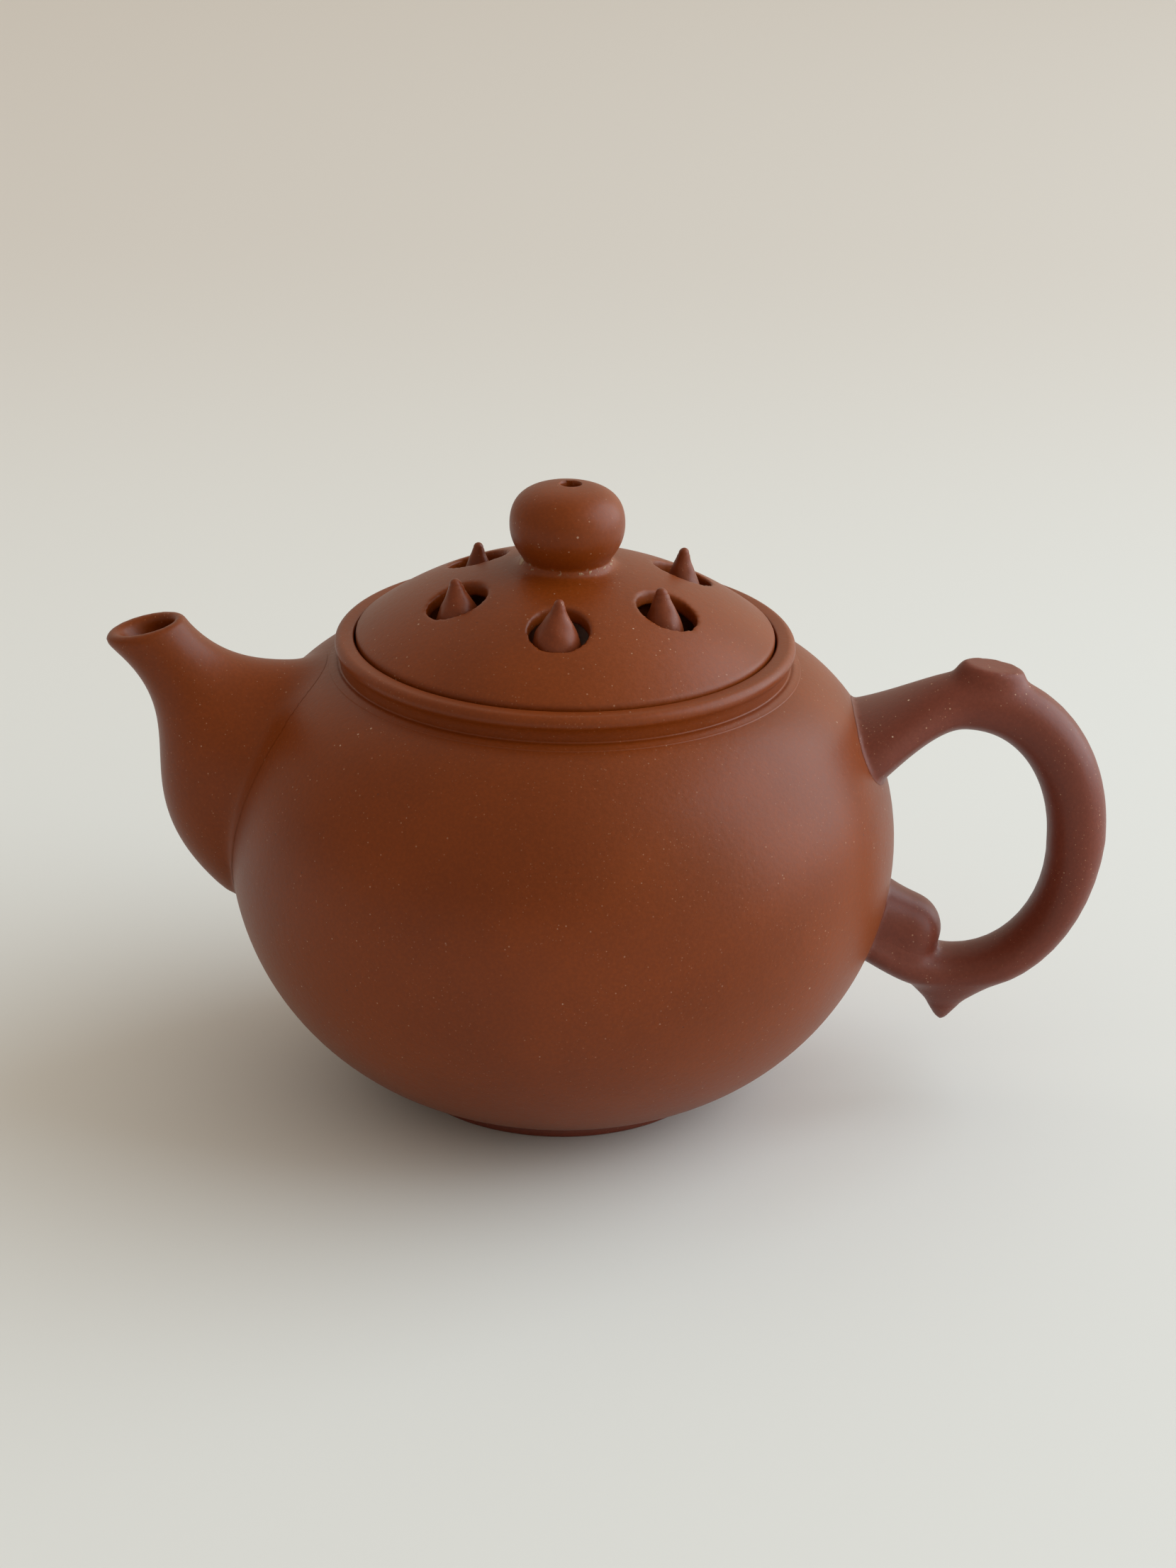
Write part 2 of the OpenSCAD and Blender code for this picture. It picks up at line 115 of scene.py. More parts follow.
def curve(p, t):
    """Point t on the cubic curve from p[0] to p[3]."""
    u = 1 - t
    return u ** 3 * p[0] + 3 * u * u * t * p[1] + 3 * u * t * t * p[2] + t ** 3 * p[3]


def curve_way(p, t):
    """Direction of that curve at t."""
    u = 1 - t
    way = u * u * (p[1] - p[0]) + 2 * u * t * (p[2] - p[1]) + t * t * (p[3] - p[2])
    return way.normalized()


def curve_points(p, steps, inset=0.0, first=0):
    """Points along a curve, moved to its left by inset."""
    points = []
    for i in range(first, steps + 1):
        way = curve_way(p, i / steps)
        points.append(curve(p, i / steps) + inset * Vector((-way.y, way.x)))
    return points


def arc(cx, cz, r, start, end, steps):
    angles = [math.radians(mix(start, end, i / steps)) for i in range(steps + 1)]
    return [Vector((cx + r * math.cos(a), cz + r * math.sin(a))) for a in angles]


def vectors(*points):
    return [Vector(p) for p in points]


# Modelling steps

def deselect():
    bpy.ops.object.select_all(action="DESELECT")


def pick(piece):
    deselect()
    piece.select_set(True)
    bpy.context.view_layer.objects.active = piece


def add_modifier(piece, kind, **settings):
    """Adds one modifier with these settings and applies it."""
    pick(piece)
    modifier = piece.modifiers.new(kind.lower(), kind)
    for key, value in settings.items():
        setattr(modifier, key, value)
    bpy.ops.object.modifier_apply(modifier=modifier.name)


def smooth_faces(piece, keep_edges=False):
    pick(piece)
    if keep_edges:
        bpy.ops.object.shade_smooth_by_angle(angle=SHARP)
    else:
        bpy.ops.object.shade_smooth()


def drop(piece):
    bpy.data.objects.remove(piece, do_unlink=True)


def copy_of(piece):
    twin = piece.copy()
    twin.data = piece.data.copy()
    bpy.context.collection.objects.link(twin)
    return twin


def turned(name, points, steps=TURN_STEPS):
    """Draws a profile of (radius, height) points by extruding one vertex, and spins it round Z."""
    deselect()
    bpy.ops.mesh.primitive_plane_add(size=MM)
    piece = bpy.context.object
    piece.name = name
    bpy.ops.object.mode_set(mode="EDIT")
    bpy.ops.mesh.select_all(action="SELECT")
    bpy.ops.mesh.merge(type="CENTER")
    bpy.ops.transform.translate(value=(points[0].x * MM, 0, points[0].y * MM))
    for a, b in zip(points, points[1:]):
        move = (b - a) * MM
        bpy.ops.mesh.extrude_region_move(TRANSFORM_OT_translate={"value": (move.x, 0, move.y)})
    bpy.ops.mesh.select_all(action="SELECT")
    bpy.ops.mesh.spin(steps=steps, angle=math.tau, center=(0, 0, 0), axis=(0, 0, 1))
    bpy.ops.mesh.select_all(action="SELECT")
    bpy.ops.mesh.remove_doubles(threshold=WELD)
    bpy.ops.mesh.normals_make_consistent(inside=False)
    bpy.ops.object.mode_set(mode="OBJECT")
    smooth_faces(piece)
    return piece


def ring(middle, reach, half_width):
    """One section of a lofted form: its middle and reach in XZ, and its half width along Y."""
    return middle, reach, half_width


def add_ring(section):
    """Adds a circle in edit mode, stretches it to the section's size and tilts it into place."""
    middle, reach, half_width = section
    place = (middle.x * MM, 0, middle.y * MM)
    tilt = math.atan2(reach.y, reach.x)
    bpy.ops.mesh.select_all(action="DESELECT")
    bpy.ops.mesh.primitive_circle_add(vertices=LOFT_SIDES, radius=MM, location=place)
    bpy.ops.transform.resize(value=(reach.length, half_width, 1), center_override=place)
    bpy.ops.transform.rotate(value=tilt, orient_axis="Y", center_override=place)


def select_rings(piece, *rows):
    mesh = bmesh.from_edit_mesh(piece.data)
    mesh.select_mode = {"VERT"}
    for vert in mesh.verts:
        vert.select = vert.index // LOFT_SIDES in rows
    mesh.select_flush(True)
    mesh.select_flush(False)
    bmesh.update_edit_mesh(piece.data)


def lofted(name, sections, closed=False):
    """Adds one circle for each section and bridges each to the next."""
    deselect()
    bpy.ops.mesh.primitive_circle_add(vertices=3, radius=MM)
    piece = bpy.context.object
    piece.name = name
    bpy.ops.object.mode_set(mode="EDIT")
    bpy.ops.mesh.select_mode(type="VERT")
    bpy.ops.mesh.select_all(action="SELECT")
    bpy.ops.mesh.delete(type="VERT")
    for section in sections:
        add_ring(section)
    rows = len(sections)
    for row in range(rows if closed else rows - 1):
        select_rings(piece, row, (row + 1) % rows)
        bpy.ops.mesh.bridge_edge_loops()
    if not closed:
        for row in (0, rows - 1):
            select_rings(piece, row)
            bpy.ops.mesh.edge_face_add()
    bpy.ops.mesh.select_all(action="SELECT")
    bpy.ops.mesh.normals_make_consistent(inside=False)
    bpy.ops.object.mode_set(mode="OBJECT")
    smooth_faces(piece)
    return piece


def cut(piece, tool):
    add_modifier(piece, "BOOLEAN", operation="DIFFERENCE", object=tool, solver="EXACT")
    drop(tool)


def swell(piece, depth, **where):
    """Moves a skin outwards along its normals."""
    add_modifier(piece, "DISPLACE", direction="NORMAL", mid_level=0.0, strength=depth * MM, **where)


def wobble(piece, size, depth):
    """Gives a hand-worked surface its slow unevenness."""
    texture = bpy.data.textures.new(piece.name + "_wobble", "CLOUDS")
    texture.noise_scale = size * MM
    texture.noise_depth = 0
    add_modifier(piece, "DISPLACE", texture=texture, texture_coords="LOCAL",
                 strength=depth * MM, mid_level=0.5)
    bpy.data.textures.remove(texture)


def join_clay(piece, lump):
    """Puts a lump of clay onto a piece; the two grow together when the piece is softened."""
    pick(piece)
    lump.select_set(True)
    bpy.ops.object.join()


def soften(piece, skin, rounds):
    """Remeshes worked clay evenly into one skin and smooths it, which rounds its edges."""
    add_modifier(piece, "REMESH", mode="VOXEL", voxel_size=skin * MM, use_smooth_shade=True)
    add_modifier(piece, "SMOOTH", factor=0.5, iterations=rounds)
    smooth_faces(piece)


def keep_side(piece, x, way):
    """Cuts a solid at the plane x and keeps the side that way points to."""
    pick(piece)
    bpy.ops.object.mode_set(mode="EDIT")
    bpy.ops.mesh.select_all(action="SELECT")
    bpy.ops.mesh.bisect(plane_co=(x * MM, 0, 0), plane_no=(way, 0, 0),
                        use_fill=True, clear_inner=True)
    bpy.ops.object.mode_set(mode="OBJECT")


def smooth_part(piece, rounds, low=0.0, high=OVER_ALL_Z, carrier=None, reach=0.0, fade=0.0):
    """Smooths the clay between two heights, or only what lies there within reach of the carrier.

    With a fade it sets in slowly over that height, and as smoothing draws a round wall in, the
    wall is swelled again."""
    group = piece.vertex_groups.new(name="worked")
    between = [v.index for v in piece.data.vertices if low * MM < v.co.z < high * MM]
    group.add(between, 1.0, "REPLACE")
    if carrier:
        add_modifier(piece, "VERTEX_WEIGHT_PROXIMITY", vertex_group="worked", target=carrier,
                     min_dist=reach * MM, max_dist=0.0, proximity_mode="GEOMETRY",
                     proximity_geometry={"FACE"}, falloff_type="SMOOTH")
    if fade:
        for vert in piece.data.vertices:
            for entry in vert.groups:
                entry.weight *= min(1.0, (vert.co.z / MM - low) / fade)
    add_modifier(piece, "SMOOTH", vertex_group="worked", factor=0.5, iterations=rounds)
    if fade:
        swell(piece, WALL_SWELL * rounds, vertex_group="worked")
    piece.vertex_groups.clear()


def drop_crumbs(piece):
    """Deletes all that isn't joined to the piece's outermost point."""
    pick(piece)
    bpy.ops.object.mode_set(mode="EDIT")
    bpy.ops.mesh.select_all(action="DESELECT")
    mesh = bmesh.from_edit_mesh(piece.data)
    max(mesh.verts, key=lambda vert: abs(vert.co.x)).select = True
    bmesh.update_edit_mesh(piece.data)
    bpy.ops.mesh.select_linked()
    bpy.ops.mesh.select_all(action="INVERT")
    bpy.ops.mesh.delete(type="VERT")
    bpy.ops.object.mode_set(mode="OBJECT")


def lute(piece, carrier, side, skin, passes):
    """Joins a piece to the solid that carries it, works the joint smooth and parts the two again.

    side is the plane and the direction of the part of the carrier that is needed, and each pass
    says how smooth_part works the joint."""
    lump = copy_of(carrier)
    keep_side(lump, *side)
    join_clay(piece, lump)
    soften(piece, skin, 3)
    for work in passes:
        smooth_part(piece, carrier=carrier, **work)
    knife = copy_of(carrier)
    swell(knife, JOINT_SKIN)
    cut(piece, knife)
    drop_crumbs(piece)
    smooth_faces(piece, keep_edges=True)


def finish_piece(piece, body, material, slot, *nodes):
    piece.data.materials.clear()
    piece.data.materials.append(material)
    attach(piece, body)
    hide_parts(*nodes)


# Materials

def socket(group, name, way, kind, value=None):
    item = group.interface.new_socket(name=name, in_out=way, socket_type=kind)
    if value is not None:
        item.default_value = value


def node(tree, kind, **inputs):
    made = tree.nodes.new(kind)
    for key, value in inputs.items():
        made.inputs[key.replace("_", " ")].default_value = value
    return made


def math_node(tree, operation, a, b=None, clamp=False):
    made = tree.nodes.new("ShaderNodeMath")
    made.operation = operation
    made.use_clamp = clamp
    for index, value in enumerate((a, b)):
        if value is None:
            continue
        if isinstance(value, (int, float)):
            made.inputs[index].default_value = value
        else:
            tree.links.new(value, made.inputs[index])
    return made.outputs[0]


def scaled(tree, value, factor, base):
    """The value times a factor, on top of a base."""
    return math_node(tree, "ADD", math_node(tree, "MULTIPLY", value, factor), base)


def ramp(tree, value, low, high):
    """0 below low and 1 above high, or the other way round."""
    made = tree.nodes.new("ShaderNodeMapRange")
    made.interpolation_type = "SMOOTHSTEP"
    made.inputs["From Min"].default_value = low
    made.inputs["From Max"].default_value = high
    tree.links.new(value, made.inputs["Value"])
    return made.outputs["Result"]


def blend_colour(tree, amount, a, b, mode="MIX"):
    made = tree.nodes.new("ShaderNodeMix")
    made.data_type = "RGBA"
    made.blend_type = mode
    for index, value in ((0, amount), (6, a), (7, b)):
        if isinstance(value, (int, float, tuple)):
            made.inputs[index].default_value = value
        else:
            tree.links.new(value, made.inputs[index])
    return made.outputs[2]


def object_place(tree):
    return tree.nodes.new("ShaderNodeTexCoord").outputs["Object"]


def axes_of(tree, place):
    axes = tree.nodes.new("ShaderNodeSeparateXYZ")
    tree.links.new(place, axes.inputs[0])
    return axes.outputs


def noise(tree, place, scale, detail=2.0, roughness=0.5):
    made = node(tree, "ShaderNodeTexNoise", Scale=scale, Detail=detail, Roughness=roughness)
    tree.links.new(place, made.inputs["Vector"])
    return made.outputs["Fac"]


SPECK_EDGE = 0.35


def specks(tree, place, scale, radius, share):
    """Small round grains: one in a share of the cells, each of its own size."""
    cells = node(tree, "ShaderNodeTexVoronoi", Scale=scale)
    tree.links.new(place, cells.inputs["Vector"])
    parts = tree.nodes.new("ShaderNodeSeparateColor")
    tree.links.new(cells.outputs["Color"], parts.inputs["Color"])
    size = math_node(tree, "MULTIPLY", parts.outputs["Green"], radius)
    inside = math_node(tree, "SUBTRACT", size, cells.outputs["Distance"])
    grain = ramp(tree, inside, 0.0, radius * SPECK_EDGE)
    chosen = math_node(tree, "LESS_THAN", parts.outputs["Red"], share)
    return math_node(tree, "MULTIPLY", grain, chosen)


# Patterns in the clay, in cells to the metre
CLOUD_SCALE, PATCH_SCALE, SKIN_SCALE = 38.0, 95.0, 800.0
GRAIN_SCALE, FINE_SCALE = 1900.0, 5200.0
# Sand and pits: cells to the metre, the largest radius in cells, and the share of cells with one
DUST_SAND, SMALL_SAND = (1800.0, 0.24, 0.8), (1000.0, 0.17, 0.85)
LARGE_SAND, PITS = (330.0, 0.075, 0.6), (420.0, 0.09, 0.15)
# How strongly each shows, and its colour
DUST_SHOW, DUST_TONE = 0.35, (0.50, 0.26, 0.15, 1)
SMALL_SHOW, SMALL_TONE = 0.5, (0.55, 0.34, 0.22, 1)
LARGE_SHOW, LARGE_TONE = 0.65, (0.66, 0.48, 0.35, 1)
PIT_SHOW, PIT_TONE = 0.55, (0.06, 0.025, 0.018, 1)
# The darkest and the lightest that clouds and grain tint the clay
CLOUD_TINTS = (0.90, 0.88, 0.86, 1), (1.08, 1.08, 1.06, 1)
GRAIN_TINTS = (0.93, 0.93, 0.93, 1), (1.07, 1.06, 1.05, 1)
# The smoothest spot, and how much rougher the grain makes the others
SMOOTHEST, ROUGHER = 0.32, 0.16
# What each adds to the height of the surface
GRAIN_LIFT, FINE_LIFT, SKIN_LIFT, SAND_LIFT, PIT_LIFT = 0.6, 0.35, 1.6, 0.5, -0.8
LIFT_STRENGTH, LIFT_DEPTH = 0.35, 0.00006
GLOSS = 0.255


def clay_grain_group():
    """Colour, roughness and height of fired clay with sand in it."""
    tree = bpy.data.node_groups.new("clay_grain", "ShaderNodeTree")
    socket(tree, "Clay", "INPUT", "NodeSocketColor", (0.2, 0.07, 0.04, 1))
    socket(tree, "Sand", "INPUT", "NodeSocketFloat", 1.0)
    socket(tree, "Color", "OUTPUT", "NodeSocketColor")
    socket(tree, "Roughness", "OUTPUT", "NodeSocketFloat")
    socket(tree, "Height", "OUTPUT", "NodeSocketFloat")
    entry = tree.nodes.new("NodeGroupInput")
    result = tree.nodes.new("NodeGroupOutput")
    place = object_place(tree)
    cloud = noise(tree, place, CLOUD_SCALE, 3.0)
    grain = noise(tree, place, GRAIN_SCALE, 3.0, 0.6)
    skin = noise(tree, place, SKIN_SCALE)
    fine = noise(tree, place, FINE_SCALE)
    dusting, small = specks(tree, place, *DUST_SAND), specks(tree, place, *SMALL_SAND)
    large, pits = specks(tree, place, *LARGE_SAND), specks(tree, place, *PITS)
    patch = ramp(tree, noise(tree, place, PATCH_SCALE), 0.35, 0.65)
    sandy = scaled(tree, ramp(tree, cloud, 0.42, 0.62), 0.75, 0.25)
    clouds = blend_colour(tree, ramp(tree, cloud, 0.3, 0.7), *CLOUD_TINTS)
    grains = blend_colour(tree, ramp(tree, grain, 0.35, 0.7), *GRAIN_TINTS)
    tone = blend_colour(tree, 1.0, entry.outputs["Clay"], clouds, "MULTIPLY")
    tone = blend_colour(tree, 1.0, tone, grains, "MULTIPLY")
    for sand, where, show, colour in ((dusting, patch, DUST_SHOW, DUST_TONE),
                                      (small, sandy, SMALL_SHOW, SMALL_TONE),
                                      (large, sandy, LARGE_SHOW, LARGE_TONE)):
        there = math_node(tree, "MULTIPLY", sand, where)
        there = math_node(tree, "MULTIPLY", there, entry.outputs["Sand"])
        amount = math_node(tree, "MULTIPLY", there, show, clamp=True)
        tone = blend_colour(tree, amount, tone, colour)
    tone = blend_colour(tree, math_node(tree, "MULTIPLY", pits, PIT_SHOW), tone, PIT_TONE)
    tree.links.new(tone, result.inputs["Color"])
    tree.links.new(scaled(tree, grain, ROUGHER, SMOOTHEST), result.inputs["Roughness"])
    lift = math_node(tree, "MULTIPLY", grain, GRAIN_LIFT)
    for relief, share in ((fine, FINE_LIFT), (skin, SKIN_LIFT),
                          (large, SAND_LIFT), (pits, PIT_LIFT)):
        lift = scaled(tree, relief, share, lift)
    tree.links.new(lift, result.inputs["Height"])
    return tree


# Slip at the knob's neck, in metres: how near the crease its flecks lie, and one larger crumb
FLECKS_FADE = 0.0006, 0.0001
FLECK_SCALE = 1300.0
CRUMB_PLACE, CRUMB_FADE = (-0.0072, -0.0016, CREASE_Z * MM), (0.0010, 0.0005)
SLIP_TONE, SLIP_LIFT = (0.36, 0.23, 0.14, 1), 4.0


def slip_crumbs_group():
    """Where crumbs of dried slip were left in the crease of the knob's neck."""
    tree = bpy.data.node_groups.new("slip_crumbs", "ShaderNodeTree")
    socket(tree, "Mask", "OUTPUT", "NodeSocketFloat")
    result = tree.nodes.new("NodeGroupOutput")
    place = object_place(tree)
    above = math_node(tree, "SUBTRACT", axes_of(tree, place)["Z"], CREASE_Z * MM)
    near = ramp(tree, math_node(tree, "ABSOLUTE", above), *FLECKS_FADE)
    flecks = ramp(tree, noise(tree, place, FLECK_SCALE), 0.56, 0.70)
    away = tree.nodes.new("ShaderNodeVectorMath")
    away.operation = "DISTANCE"
    away.inputs[1].default_value = CRUMB_PLACE
    tree.links.new(place, away.inputs[0])
    crumb = ramp(tree, away.outputs["Value"], *CRUMB_FADE)
    slip = math_node(tree, "MAXIMUM", math_node(tree, "MULTIPLY", near, flecks), crumb)
    tree.links.new(slip, result.inputs["Mask"])
    return tree


def clay_material(name, group, colour, sand, crumbs=None):
    material = bpy.data.materials.new(name)
    material.use_nodes = True
    tree = material.node_tree
    shader = tree.nodes["Principled BSDF"]
    shader.inputs["Specular IOR Level"].default_value = GLOSS
    grain = tree.nodes.new("ShaderNodeGroup")
    grain.node_tree = group
    grain.inputs["Clay"].default_value = colour
    grain.inputs["Sand"].default_value = sand
    tone, height = grain.outputs["Color"], grain.outputs["Height"]
    if crumbs:
        mask = tree.nodes.new("ShaderNodeGroup")
        mask.node_tree = crumbs
        tone = blend_colour(tree, mask.outputs["Mask"], tone, SLIP_TONE)
        height = scaled(tree, mask.outputs["Mask"], SLIP_LIFT, height)
    bump = node(tree, "ShaderNodeBump", Strength=LIFT_STRENGTH, Distance=LIFT_DEPTH)
    tree.links.new(height, bump.inputs["Height"])
    tree.links.new(tone, shader.inputs["Base Color"])
    tree.links.new(grain.outputs["Roughness"], shader.inputs["Roughness"])
    tree.links.new(bump.outputs["Normal"], shader.inputs["Normal"])
    return material


RED_CLAY, RED_CLAY_SAND = (0.191, 0.0346, 0.002, 1), 0.9
# The handle and the foot share the pot's clay; this darker, duller, cooler copy of it is painted
# shade and painted sheen of the window light
SHADED_CLAY, SHADED_CLAY_SAND = (0.157, 0.0358, 0.0205, 1), 1.5
SEED_CLAY, SEED_CLAY_SAND = (0.176, 0.0355, 0.010, 1), 0.8

clay_grain = clay_grain_group()
pot_clay = clay_material("pot_clay", clay_grain, RED_CLAY, RED_CLAY_SAND)
knob_clay = clay_material("knob_clay", clay_grain, RED_CLAY, RED_CLAY_SAND, slip_crumbs_group())
# Clay with painted shade and painted sheen, for the handle, its lobe and the foot
shaded_clay = clay_material("shaded_clay", clay_grain, SHADED_CLAY, SHADED_CLAY_SAND)
seed_clay = clay_material("seed_clay", clay_grain, SEED_CLAY, SEED_CLAY_SAND)


# Pot

LOW_CURVE = vectors((FOOT_R, FOOT_H), (FOOT_R + 15.03, FOOT_H + 4.88),
                    (BELLY_R, BELLY_Z - 20), (BELLY_R, BELLY_Z))
HIGH_CURVE = vectors((BELLY_R, BELLY_Z), (BELLY_R, BELLY_Z + 15),
                     (SHOULDER_R + 10.38, SHOULDER_Z - 2.98), (SHOULDER_R, SHOULDER_Z))


def wall_points(steps, inset=0.0):
    """The wall's profile from the foot over the belly to the shoulder."""
    return curve_points(LOW_CURVE, steps, inset) + curve_points(HIGH_CURVE, steps, inset, first=1)


def body_core():
    """The body as one solid, for the pieces that are luted to it."""
    points = [Vector((0, FOOT_H))] + wall_points(CORE_STEPS)
    points.append(Vector((0, points[-1].y)))
    return turned("body_core", points)


def make_body():
    """The hollow wall, with the opening behind the spout."""
    inner = wall_points(INNER_STEPS, WALL)
    top = inner[-1]
    well_low = Vector((WELL_R, top.y + (top.x - WELL_R) * SHOULDER_SLOPE))
    points = [Vector((BASE_R, FOOT_H))] + wall_points(OUTER_STEPS)
    points += [Vector((WELL_R, SHOULDER_Z)), well_low] + inner[::-1]
    points += vectors((BASE_R, inner[0].y), (BASE_R, FOOT_H))
    body = turned("body_shell", points)
    deselect()
    bpy.ops.mesh.primitive_cylinder_add(vertices=64, radius=STRAIN_R * MM, depth=BELLY_R * MM,
                                        location=(-BELLY_R * MM, 0, STRAIN_Z * MM),
                                        rotation=(0, math.pi / 2, 0))
    cut(body, bpy.context.object)
    smooth_faces(body, keep_edges=True)
    return body


def make_rim():
    """A ring with a flat top and a round outer side that turns under.

    It stands on a low ridge that runs out on the shoulder."""
    edge = Vector((WELL_R + RIM_W - RIM_ROUND, RIM_TOP_Z - RIM_ROUND))
    skirt = Vector((SHOULDER_R + 1.6, SHOULDER_Z - 0.46))
    crest = Vector((SHOULDER_R + 0.2, SHOULDER_Z + 0.12))
    crease = Vector((SHOULDER_R - 0.2, SHOULDER_Z + 0.5))
    high = arc(edge.x, edge.y, RIM_ROUND, -35, 90, 20)
    ridge = [skirt, skirt + Vector((-0.5, 0.15)), crest + Vector((0.4, 0.04)), crest]
    fillet = [crest, crest + Vector((-0.35, -0.02)), crease - Vector((0.08, 0.25)), crease]
    side = [crease, crease + Vector((0.1, 0.6)), high[0] - Vector((0.35, 0.5)), high[0]]
    points = [Vector((WELL_R, SHOULDER_Z - 1.0)), skirt + Vector((0, -0.3))]
    points += curve_points(ridge, 8) + curve_points(fillet, 8, first=1)
    points += curve_points(side, 10, first=1) + high[1:]
    points += arc(WELL_R + RIM_EDGE, RIM_TOP_Z - RIM_EDGE, RIM_EDGE, 90, 180, 5)
    return turned("rim", points + [points[0]])


def make_seat():
    low, high, inner = SEAT_Z - SEAT_T, SEAT_Z, WELL_R - SEAT_W
    points = [Vector((WELL_R, low))]
    points += arc(inner + SEAT_ROUND, low + SEAT_ROUND, SEAT_ROUND, 270, 180, 5)
    points += arc(inner + SEAT_ROUND, high - SEAT_ROUND, SEAT_ROUND, 180, 90, 5)
    points += vectors((WELL_R, high), (WELL_R, low))
    return turned("lid_ledge", points[::-1])


def make_foot():
    inner = FOOT_R - FOOT_W
    points = [Vector((inner, FOOT_H))]
    points += arc(inner + FOOT_ROUND, FOOT_ROUND, FOOT_ROUND, 180, 270, 6)
    points += arc(FOOT_R - FOOT_ROUND, FOOT_ROUND, FOOT_ROUND, 270, 360, 6)
    points += vectors((FOOT_R, FOOT_H), (inner, FOOT_H))
    return turned("foot", points)


# The spout is drawn by its under side and its upper side, from the wall to the lip
LIP_FRONT = Vector((-74.6, 75.9))
LIP_WAY = Vector((math.cos(SPOUT_TILT), math.sin(SPOUT_TILT)))
LIP_BACK = LIP_FRONT + LIP_L * LIP_WAY
LIP_UP = Vector((-math.sin(SPOUT_TILT), math.cos(SPOUT_TILT)))
ROOT_LOW = Vector((-54.5, 31.0))
ROOT_HIGH = Vector((-42.5, 72.8))
ROOT_INTO = Vector((11.0, -3.0))
SPOUT_UNDER = [ROOT_LOW, ROOT_LOW + Vector((-22.2, 19.3)),
               LIP_FRONT + Vector((17.4, -14.3)), LIP_FRONT]
SPOUT_OVER = [ROOT_HIGH, ROOT_HIGH + Vector((-5.5, -0.8)),
              LIP_BACK + Vector((5.4, -6.9)), LIP_BACK]
SPOUT_STEPS, LIP_STEPS = 20, 6
# How far the channel's end lies towards the back, which makes the front lip the widest
CHANNEL_BACK = 0.4
# The part of the body it is luted to, and how the joint is worked: a little all round, and far
# more from the belly up
SPOUT_SIDE = -30, -1
SPOUT_WORK = [dict(reach=3, rounds=8), dict(reach=8, rounds=420, low=40, fade=26)]


def spout_section(under, over, half_width, inset, shift=Vector((0, 0))):
    reach = (under - over) / 2
    middle = (under + over) / 2 + shift
    return ring(middle, reach * (1 - inset / reach.length), half_width - inset)


def spout_station(t, inset, shift=Vector((0, 0))):
    """Section t of the spout, from 0 at the wall to 1 at the lip."""
    half = mix(SPOUT_ROOT_W, LIP_W, ease(t)) / 2
    return spout_section(curve(SPOUT_UNDER, t), curve(SPOUT_OVER, t), half, inset, shift)


def make_spout(core):
    """The outside up to the lip, round the lip, and the channel down again."""
    half = SPOUT_ROOT_W / 2
    stations = [i / SPOUT_STEPS for i in range(SPOUT_STEPS + 1)]
    sections = [spout_section(ROOT_LOW, ROOT_HIGH, half, 0, ROOT_INTO)]
    sections += [spout_station(t, 0) for t in stations]
    for i in range(1, LIP_STEPS):
        a = math.radians(180 / LIP_STEPS * i)
        inset = LIP_T / 2 * (1 - math.cos(a))
        shift = LIP_UP * LIP_ROUND * math.sin(a) + LIP_WAY * CHANNEL_BACK * (i / LIP_STEPS) ** 2
        sections.append(spout_section(LIP_FRONT, LIP_BACK, LIP_W / 2, inset, shift))
    for t in stations[::-1]:
        inset = mix(SPOUT_WALL, LIP_T, t ** 4)
        sections.append(spout_station(t, inset, LIP_WAY * CHANNEL_BACK * t ** 8))
    sections.append(spout_section(ROOT_LOW, ROOT_HIGH, half, SPOUT_WALL, ROOT_INTO))
    spout = lofted("spout_tube", sections, closed=True)
    add_modifier(spout, "SUBSURF", levels=1, render_levels=1)
    lute(spout, core, SPOUT_SIDE, SPOUT_SKIN, SPOUT_WORK)
    return spout


# The handle's middle line, in four curves from the upper root round to the lower one
HIGH_ROOT, LOW_ROOT = Vector((45.0, 58.4)), Vector((48.0, 27.8))
CREST, LOW_CREST = Vector((CREST_X, CREST_Z)), Vector((CREST_X, LOW_CREST_Z))
GRIP = Vector((GRIP_X, GRIP_Z))
ROUND_OFF = 0.57
BEND = Vector(((GRIP_X - CREST_X) * ROUND_OFF, 0))
GRIP_UP = Vector((0, (CREST_Z - GRIP_Z) * ROUND_OFF))
GRIP_DOWN = Vector((0, (GRIP_Z - LOW_CREST_Z) * ROUND_OFF))
HANDLE_CURVES = [
    [HIGH_ROOT, HIGH_ROOT + Vector((7, 2.8)), CREST - Vector((6.6, 0)), CREST],
    [CREST, CREST + BEND, GRIP + GRIP_UP, GRIP],
    [GRIP, GRIP - GRIP_DOWN, LOW_CREST + BEND, LOW_CREST],
    [LOW_CREST, LOW_CREST - Vector((6.6, 0)), LOW_ROOT + Vector((7, -4)), LOW_ROOT]]
# Half its thickness along each curve, and half its width at their ends
HANDLE_T = [(8.2, 3.9, 3.9, CREST_T), (CREST_T, 5.25, 5.25, 4.9),
            (4.9, 3.9, 3.9, 3.9), (3.9, 3.9, 3.3, 3.3)]
HANDLE_W = [14.0, 5.8, 5.8, 5.8, 8.5]
HANDLE_STEPS = 12
# The part of the body it is luted to, and how the joint is worked: a little at both roots, and
# more under the upper one
HANDLE_SIDE = 36, 1
HANDLE_WORK = [dict(reach=1.6, rounds=5), dict(reach=4, rounds=80, low=44, high=55)]
LOBE_PART = 0.3


